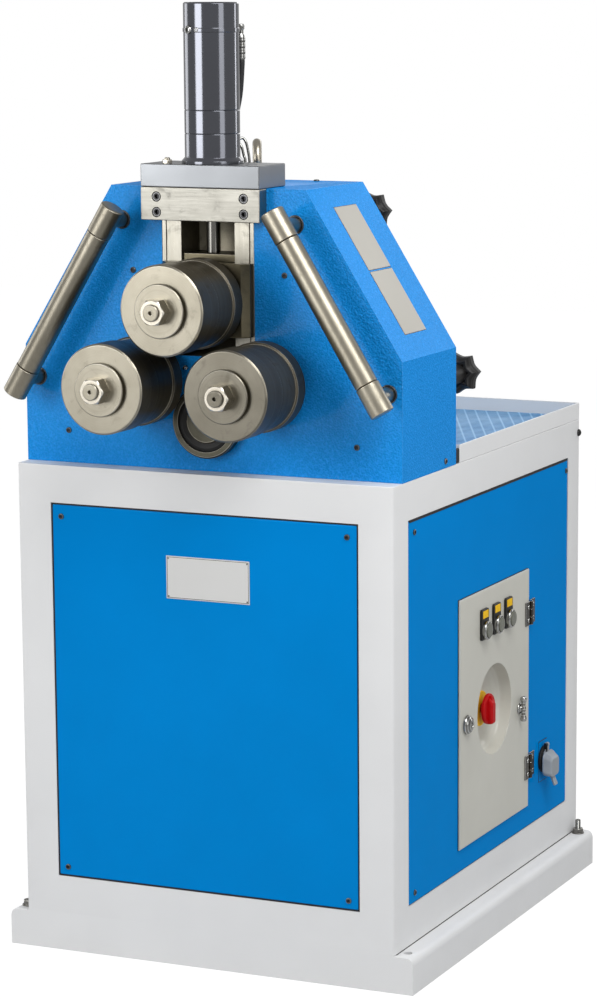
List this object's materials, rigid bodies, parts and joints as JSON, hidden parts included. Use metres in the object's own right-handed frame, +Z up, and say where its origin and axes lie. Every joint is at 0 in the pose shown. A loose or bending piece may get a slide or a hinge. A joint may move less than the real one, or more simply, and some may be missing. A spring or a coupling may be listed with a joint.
{
  "type": "ring roller",
  "caption": "Floor-standing ring roller: a hydraulic cylinder presses a top roll between driven lower rolls, with inclined guide rollers on a box cabinet.",
  "frame": {"origin": "middle of the base bottom, on the floor under the cabinet centre", "axes": "+Z up, -Y towards the side with the rolls, +X towards the side with the control box"},
  "size_m": [0.69, 0.9433, 1.468],
  "materials": {
    "blue_paint": "hammered gloss",
    "light_paint": "satin",
    "door_paint": "satin",
    "mat_rubber": "chequered",
    "ground_steel": "ground",
    "roll_steel": "turned",
    "dark_steel": "browned",
    "guide_steel": "satin",
    "cylinder_paint": "gloss",
    "chrome": "polished",
    "black_plastic": "satin",
    "hose_rubber": "matt",
    "red_plastic": "gloss",
    "lens_plastic": "gloss",
    "socket_plastic": "satin"
  },
  "bodies": {
    "machine": {"base_plinth": "light_paint", "cabinet_frame": "light_paint", "front_panel": "blue_paint", "left_panel": "blue_paint", "right_panel": "blue_paint", "rear_panel": "blue_paint", "work_tray": "light_paint", "tray_mat": "mat_rubber", "head_housing": "blue_paint", "head_rear_cover": "blue_paint", "left_slide_rail": "ground_steel", "right_slide_rail": "ground_steel", "crossbar": "ground_steel", "cylinder_block": "cylinder_paint", "cylinder_barrel": "cylinder_paint", "pressure_hose": "hose_rubber", "lifting_eye": "ground_steel", "drive_bearing_cap": "roll_steel", "gear_motor": "cylinder_paint", "hydraulic_unit": "cylinder_paint", "control_box": "door_paint", "pedal_socket": "black_plastic"},
    "press_slide": {"slide_block": "dark_steel", "slide_cap": "roll_steel", "piston_rod": "chrome"},
    "top_roll": {"top_roll_shaft": "roll_steel", "top_roll_front_ring": "roll_steel", "top_roll_spacer_ring": "dark_steel", "top_roll_rear_ring": "dark_steel", "top_roll_nut": "roll_steel"},
    "left_roll": {"left_roll_shaft": "roll_steel", "left_roll_front_ring": "roll_steel", "left_roll_spacer_ring": "dark_steel", "left_roll_rear_ring": "dark_steel", "left_roll_nut": "roll_steel", "left_roll_gear": "dark_steel"},
    "right_roll": {"right_roll_shaft": "roll_steel", "right_roll_front_ring": "roll_steel", "right_roll_spacer_ring": "dark_steel", "right_roll_rear_ring": "dark_steel", "right_roll_nut": "roll_steel", "right_roll_gear": "dark_steel"},
    "drive_train": {"drive_shaft": "roll_steel"},
    "motor_output": {"motor_gear": "dark_steel"},
    "left_guide": {"left_guide_frame": "guide_steel"},
    "left_guide_bar": {"left_guide_roller": "guide_steel"},
    "left_upper_knob": {"left_upper_knob": "black_plastic"},
    "left_lower_knob": {"left_lower_knob": "black_plastic"},
    "right_guide": {"right_guide_frame": "guide_steel"},
    "right_guide_bar": {"right_guide_roller": "guide_steel"},
    "right_upper_knob": {"right_upper_knob": "black_plastic"},
    "right_lower_knob": {"right_lower_knob": "black_plastic"},
    "door": {"control_door": "door_paint"},
    "main_switch": {"main_switch_handle": "red_plastic"},
    "button_1": {"push_button_1": "lens_plastic"},
    "button_2": {"push_button_2": "lens_plastic"},
    "button_3": {"push_button_3": "lens_plastic"},
    "lock": {"door_lock": "chrome"},
    "tee": {"tee_handle": "chrome"},
    "flap": {"socket_flap": "socket_plastic"}
  },
  "joints": [
    {"name": "top_slide", "type": "slide", "parent": "machine", "child": "press_slide", "axis": [0, 0, 1], "range_m": [-0.028, 0.045]},
    {"name": "top_roll_spin", "type": "hinge", "parent": "press_slide", "child": "top_roll", "pos_m": [0, -0.45, 1.0271], "axis": [0, 1, 0], "continuous": true},
    {"name": "left_roll_spin", "type": "hinge", "parent": "machine", "child": "left_roll", "pos_m": [-0.1015, -0.45, 0.9074], "axis": [0, 1, 0], "continuous": true},
    {"name": "right_roll_spin", "type": "hinge", "parent": "machine", "child": "right_roll", "pos_m": [0.1015, -0.45, 0.9074], "axis": [0, 1, 0], "continuous": true},
    {"name": "drive_shaft_spin", "type": "hinge", "parent": "machine", "child": "drive_train", "pos_m": [0, -0.37, 0.8465], "axis": [0, 1, 0], "continuous": true},
    {"name": "motor_gear_spin", "type": "hinge", "parent": "machine", "child": "motor_output", "pos_m": [0, -0.19, 0.71123], "axis": [0, 1, 0], "continuous": true},
    {"name": "left_upper_knob_turn", "type": "hinge", "parent": "machine", "child": "left_upper_knob", "pos_m": [-0.14395, -0.085, 1.14541], "axis": [0, -1, 0], "range_deg": [-2881, 2881]},
    {"name": "left_lower_knob_turn", "type": "hinge", "parent": "machine", "child": "left_lower_knob", "pos_m": [-0.29275, -0.085, 0.90169], "axis": [0, -1, 0], "range_deg": [-2881, 2881]},
    {"name": "left_guide_slide", "type": "slide", "parent": "machine", "child": "left_guide", "axis": [0, 1, 0], "range_m": [-0.02, 0.02]},
    {"name": "left_guide_spin", "type": "hinge", "parent": "left_guide", "child": "left_guide_bar", "pos_m": [-0.21835, -0.413, 1.02355], "axis": [-0.5211, 0, -0.8535], "continuous": true},
    {"name": "right_upper_knob_turn", "type": "hinge", "parent": "machine", "child": "right_upper_knob", "pos_m": [0.14395, -0.085, 1.14541], "axis": [0, -1, 0], "range_deg": [-2881, 2881]},
    {"name": "right_lower_knob_turn", "type": "hinge", "parent": "machine", "child": "right_lower_knob", "pos_m": [0.29275, -0.085, 0.90169], "axis": [0, -1, 0], "range_deg": [-2881, 2881]},
    {"name": "right_guide_slide", "type": "slide", "parent": "machine", "child": "right_guide", "axis": [0, 1, 0], "range_m": [-0.02, 0.02]},
    {"name": "right_guide_spin", "type": "hinge", "parent": "right_guide", "child": "right_guide_bar", "pos_m": [0.21835, -0.413, 1.02355], "axis": [0.5211, 0, -0.8535], "continuous": true},
    {"name": "control_door_swing", "type": "hinge", "parent": "machine", "child": "door", "pos_m": [0.3203, 0.157, 0.3565], "axis": [0, 0, 1], "range_deg": [0, 110]},
    {"name": "main_switch_turn", "type": "hinge", "parent": "door", "child": "main_switch", "pos_m": [0.3, 0.001, 0.3545], "axis": [-1, 0, 0], "range_deg": [0, 90]},
    {"name": "button_1_press", "type": "slide", "parent": "door", "child": "button_1", "axis": [-1, 0, 0], "range_m": [0, 0.0035], "stiffness_N_per_m": 800, "springref_m": -0.002},
    {"name": "button_2_press", "type": "slide", "parent": "door", "child": "button_2", "axis": [-1, 0, 0], "range_m": [0, 0.0035], "stiffness_N_per_m": 800, "springref_m": -0.002},
    {"name": "button_3_press", "type": "slide", "parent": "door", "child": "button_3", "axis": [-1, 0, 0], "range_m": [0, 0.0035], "stiffness_N_per_m": 800, "springref_m": -0.002},
    {"name": "door_lock_turn", "type": "hinge", "parent": "door", "child": "lock", "pos_m": [0.32, -0.1185, 0.3545], "axis": [1, 0, 0], "range_deg": [0, 90]},
    {"name": "tee_handle_turn", "type": "hinge", "parent": "door", "child": "tee", "pos_m": [0.32, 0.109, 0.3315], "axis": [1, 0, 0], "range_deg": [0, 90]},
    {"name": "socket_flap_swing", "type": "hinge", "parent": "machine", "child": "flap", "pos_m": [0.3225, 0.228, 0.2452], "axis": [0, -1, 0], "range_deg": [0, 110], "stiffness_Nm_per_rad": 0.04, "springref_deg": -20.05}
  ],
  "couplings": [
    {"joint": "right_roll_spin", "follows": "left_roll_spin", "ratio": 1},
    {"joint": "drive_shaft_spin", "follows": "left_roll_spin", "ratio": -2},
    {"joint": "motor_gear_spin", "follows": "left_roll_spin", "ratio": 2},
    {"joint": "left_upper_knob_turn", "follows": "left_guide_slide", "rad_per_m": 2513.3},
    {"joint": "left_lower_knob_turn", "follows": "left_guide_slide", "rad_per_m": 2513.3},
    {"joint": "right_upper_knob_turn", "follows": "right_guide_slide", "rad_per_m": 2513.3},
    {"joint": "right_lower_knob_turn", "follows": "right_guide_slide", "rad_per_m": 2513.3}
  ]
}
